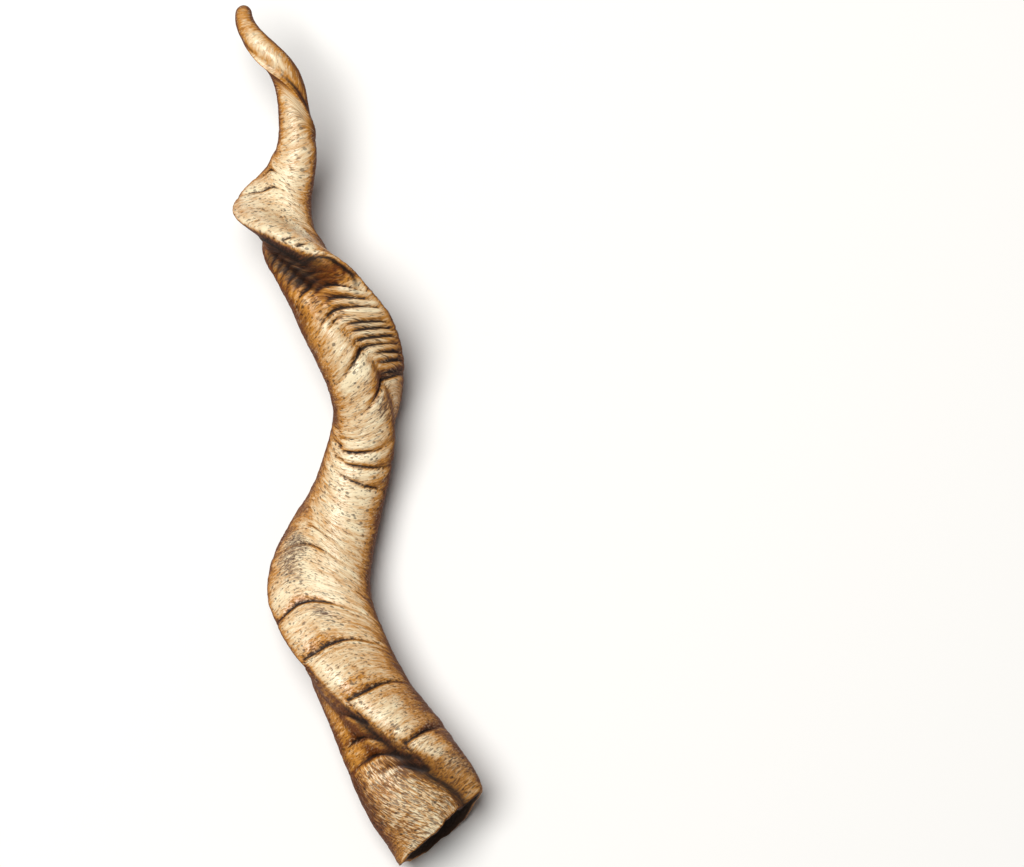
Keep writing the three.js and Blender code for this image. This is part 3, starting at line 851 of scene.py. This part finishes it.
def horn_keratin(finish):
    """Material of the horn: keratin that grew in rings and then weathered."""
    # The eye sees golden tan with a satin sheen on the swells; the paler upward swells, browner sides and
    # darker grooves are painted light and shade.
    material = bpy.data.materials.new("horn_keratin_weathered")
    material.use_nodes = True
    tree = material.node_tree
    tree.nodes.clear()
    growth = add(tree, "ShaderNodeAttribute", attribute_name="growth").outputs["Vector"]
    weights = {}
    for name in WEIGHTS:
        weights[name] = add(tree, "ShaderNodeAttribute", attribute_name=name).outputs["Fac"]
    patterns = {}
    for name, (around, along, detail) in COLOUR_PATTERNS.items():
        scale = (1 / around, 1 / around, 1 / along)
        place = add(tree, VECTOR, [growth, scale], operation="MULTIPLY")
        noise = {
            "Vector": place,
            "Scale": 1.0,
            "Detail": detail,
            "Roughness": PATTERN_ROUGHNESS,
            "Distortion": PATTERN_DISTORTION,
        }
        patterns[name] = add(tree, "ShaderNodeTexNoise", noise).outputs[0]
    shelf, lit_and_rubbed = weights["shelf"], weights["lit_and_rubbed"]
    grain = add(tree, MIX, [shelf, None, patterns["streak"], patterns["fibre"]], data_type="FLOAT")
    tick = add(tree, MIX, [shelf, None, patterns["tick"], patterns["fibre_tick"]], data_type="FLOAT")

    # Streaks, bands and clouds: paler on faces turned up and towards the light as painted light, browner on
    # the sides as painted shade, and darker in grooves and by the keel as painted shade.
    side = add(tree, MAP, [lit_and_rubbed, *SIDE_TONE], interpolation_type=SMOOTH)
    fibrous = add(tree, MATH, [patterns["fibre"], shelf], operation="MULTIPLY")
    tone = mixed(tree, side, ((grain, GRAIN_TONE), (fibrous, FIBRE_TONE)))
    tone = mixed(tree, tone, [(patterns[name], gain) for name, gain in PATTERN_TONES])
    tone = mixed(tree, tone, [(weights[name], gain) for name, gain in WEIGHT_TONES])
    shades = add(tree, "ShaderNodeValToRGB", [tone])
    stops = shades.color_ramp.elements
    stops[0].position, stops[1].position = TONE_STOPS[0], TONE_STOPS[2]
    stops[0].color, stops[1].color = (*finish.brown, 1), (*finish.pale, 1)
    stops.new(TONE_STOPS[1]).color = (*finish.tan, 1)

    # Weathered patches are grey and speckled, and faces turned towards the light get pale flecks, which are
    # painted glints.
    speckled = add(tree, MATH, [weights["stain"], tick], operation="MULTIPLY")
    stained = add(tree, MAP, [speckled, *STAINED])
    lit_unshaded = add(tree, MATH, [lit_and_rubbed, weights["keel_shade"]], operation="SUBTRACT", use_clamp=True)
    painted_glint = add(tree, MATH, [add(tree, MAP, [tick, *GLINTED]), lit_unshaded], operation="MULTIPLY")

    # Short dark ticks lie along the rings, and along the fibres on the shelf, closer in stains, grooves, on
    # the shelf and in the painted shade by the keel.
    crowded = mixed(tree, tick, [(weights[name], gain) for name, gain in CROWDING])
    along = add(tree, "ShaderNodeSeparateXYZ", [growth]).outputs[2]
    marked = add(tree, MAP, [along, *MARKED_ALONG])
    ticks = add(tree, MAP, [crowded, *TICKED, marked])
    pits = add(tree, MATH, [keratin_pits(tree, growth), marked], operation="MULTIPLY")

    # Dark: grime in cracks and pits, painted shade in grooves, under the lip and in the crease, and a painted
    # shadow line along the lip and the crease.
    broken = add(tree, MATH, [tick, CRACK_TICK, weights["crack"]], operation="MULTIPLY_ADD")
    shaded_grain = mixed(tree, grain, ((weights["sunk"], SUNK_SHADE_GAIN), (weights["keel_shade"], KEEL_SHADE_GAIN)))
    edged = add(tree, MATH, [grain, LINE_GRAIN, weights["line"]], operation="MULTIPLY_ADD")
    grime = add(tree, MAP, [broken, *GRIMY])
    shade_dark = add(tree, MAP, [shaded_grain, *SHADED])
    line = add(tree, MAP, [edged, *LINED])
    dirt_and_shade = largest(tree, [grime, shade_dark, line, pits])
    darkened = largest(tree, [dirt_and_shade, ticks])

    colour = shades.outputs[0]
    layers = (
        (stained, finish.stain),
        (painted_glint, finish.pale),
        (ticks, finish.umber),
        (dirt_and_shade, finish.dark),
        (weights["hollow"], finish.hollow),
    )
    for share, layer in layers:
        colour = add(tree, MIX, {0: share, 6: colour, 7: (*layer, 1)}, data_type="RGBA").outputs[2]
    satin = add(tree, MAP, [lit_and_rubbed, *SATIN], interpolation_type=SMOOTH)
    rough = add(tree, MAP, [darkened, 0.0, 1.0, satin, DULL])
    sheen = add(tree, MAP, [lit_and_rubbed, *SHEEN], interpolation_type=SMOOTH)
    marks = largest(tree, [ticks, pits])
    relief = mixed(tree, grain, ((marks, MARK_RELIEF), (tick, TICK_RELIEF)))
    sunken = {"Strength": BUMP_STRENGTH, "Distance": BUMP_HEIGHT, "Height": relief}
    bump = add(tree, "ShaderNodeBump", sunken)
    shader = add(tree, "ShaderNodeBsdfPrincipled", {
        "Base Color": colour,
        "Roughness": rough,
        "Normal": bump,
        "IOR": KERATIN_IOR,
        "Specular IOR Level": sheen,
    })
    add(tree, "ShaderNodeOutputMaterial", [shader])
    return material


class MakeSheath(bpy.types.Operator):
    """Grow the horn sheath along its corkscrew and put it in the place of the plain solid"""

    bl_idname = "object.make_horn_sheath"
    bl_label = "Make horn sheath"

    def execute(self, context):
        form = context.scene.horn_form
        keratin = horn_keratin(context.scene.horn_finish)
        tree, inputs = growth_tree(form, keratin)
        sleeve_piece = sleeve_object(form)
        context.collection.objects.link(sleeve_piece)
        modifier = sleeve_piece.modifiers.new("growth", "NODES")
        modifier.node_group = tree
        for identifier, value in inputs.items():
            modifier[identifier] = value
        depsgraph = context.evaluated_depsgraph_get()
        grown = sleeve_piece.evaluated_get(depsgraph)
        mesh = bpy.data.meshes.new_from_object(grown, preserve_all_data_layers=True, depsgraph=depsgraph)
        sleeve_piece.modifiers.remove(modifier)
        bpy.data.objects.remove(sleeve_piece)

        # The lowest point lies on the ground and the middle is over the origin, as on the solid.
        low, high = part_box("horn")
        points = np.empty(len(mesh.vertices) * 3, dtype=np.float32)
        mesh.vertices.foreach_get("co", points)
        points = points.reshape(-1, 3)
        mine_low, mine_high = points.min(axis=0), points.max(axis=0)
        shift = [(low[i] + high[i] - mine_low[i] - mine_high[i]) / 2 for i in range(2)]
        shift = Vector((*shift, low[2] - mine_low[2]))
        mesh.transform(Matrix.Translation(shift))
        context.scene["horn_shift"] = shift
        horn = bpy.data.objects.new("horn_sheath", mesh)
        context.collection.objects.link(horn)
        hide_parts("horn")
        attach(horn, "root")
        return {"FINISHED"}


def photo_point(pixel):
    """A pixel of the photograph as a point level with the horn's axis, in metres, before it is laid down."""
    lean = math.radians(AXIS_LEAN)
    right = (pixel[0] - TIP_PIXEL[0]) * MM_PER_PIXEL
    up = (TIP_PIXEL[1] - pixel[1]) * MM_PER_PIXEL
    x = right * math.cos(lean) + up * math.sin(lean)
    y = up * math.cos(lean) - right * math.sin(lean)
    return Vector((x, y, 0.0)) * MM


class MakeStage(bpy.types.Operator):
    """Lay out the plain floor, the soft light and the camera that looks down on the horn"""

    bl_idname = "object.make_horn_stage"
    bl_label = "Make stage"

    def execute(self, context):
        scene = context.scene
        stage = scene.horn_stage
        lean = math.radians(AXIS_LEAN)
        turn = rest_turn()
        target = turn @ photo_point((PHOTO_WIDTH / 2, PHOTO_HEIGHT / 2)) + Vector(scene["horn_shift"])
        toward = turn @ Vector((0, 0, 1))
        upward = turn @ Vector((math.sin(lean), math.cos(lean), 0))
        sideways = upward.cross(toward)
        facing = Matrix((sideways, upward, toward)).transposed()

        lens = bpy.data.cameras.new("camera")
        lens.sensor_fit = "HORIZONTAL"
        lens.lens = lens.sensor_width * stage.camera_distance / (PHOTO_WIDTH * MM_PER_PIXEL * MM)
        lens.clip_end = VIEW_END
        camera = bpy.data.objects.new("camera", lens)
        camera.matrix_world = Matrix.Translation(target + toward * stage.camera_distance) @ facing.to_4x4()
        context.collection.objects.link(camera)
        scene.camera = camera

        light = bpy.data.lights.new("key", "AREA")
        light.shape = "DISK"
        light.size = KEY_SIZE
        light.energy = stage.key_power
        key = bpy.data.objects.new("key", light)
        from_middle = facing @ Vector(KEY_PLACE)
        horn_middle = turn @ photo_point(HORN_MIDDLE_PIXEL) + Vector(scene["horn_shift"])
        aim = from_middle.to_track_quat("Z", "Y").to_matrix().to_4x4()
        key.matrix_world = Matrix.Translation(horn_middle + from_middle) @ aim
        context.collection.objects.link(key)

        world = bpy.data.worlds.new("studio")
        world.use_nodes = True
        background = world.node_tree.nodes["Background"]
        background.inputs["Color"].default_value = (1, 1, 1, 1)
        background.inputs["Strength"].default_value = stage.fill
        scene.world = world
        scene.view_settings.view_transform = "Standard"

        bpy.ops.mesh.primitive_plane_add(size=FLOOR_SIZE, location=(0, 0, -FLOOR_DROP))
        floor = context.object
        floor.name = "floor"
        paint = bpy.data.materials.new("floor_matt_paint")
        paint.use_nodes = True
        shader = paint.node_tree.nodes["Principled BSDF"]
        shader.inputs["Base Color"].default_value = (*stage.floor, 1)
        shader.inputs["Roughness"].default_value = FLOOR_ROUGHNESS
        floor.data.materials.append(paint)
        return {"FINISHED"}


class HornPanel(bpy.types.Panel):
    """Sidebar panel that lists the steps and their sizes"""

    bl_idname = "VIEW3D_PT_markhor_horn"
    bl_label = "Markhor horn"
    bl_space_type = "VIEW_3D"
    bl_region_type = "UI"
    bl_category = "Horn"

    def draw(self, context):
        for group in (context.scene.horn_form, context.scene.horn_finish, context.scene.horn_stage):
            box = self.layout.box()
            for name in group.__annotations__:
                box.prop(group, name)
        for operator in (MakeSheath, MakeStage):
            self.layout.operator(operator.bl_idname)


CLASSES = (HornForm, HornFinish, HornStage, MakeSheath, MakeStage, HornPanel)


def register():
    for cls in CLASSES:
        bpy.utils.register_class(cls)
    bpy.types.Scene.horn_form = PointerProperty(type=HornForm)
    bpy.types.Scene.horn_finish = PointerProperty(type=HornFinish)
    bpy.types.Scene.horn_stage = PointerProperty(type=HornStage)


def unregister():
    for name in ("horn_form", "horn_finish", "horn_stage"):
        delattr(bpy.types.Scene, name)
    for cls in reversed(CLASSES):
        bpy.utils.unregister_class(cls)


def main():
    register()
    bpy.ops.object.make_horn_sheath()
    bpy.ops.object.make_horn_stage()


if __name__ == "__main__":
    main()
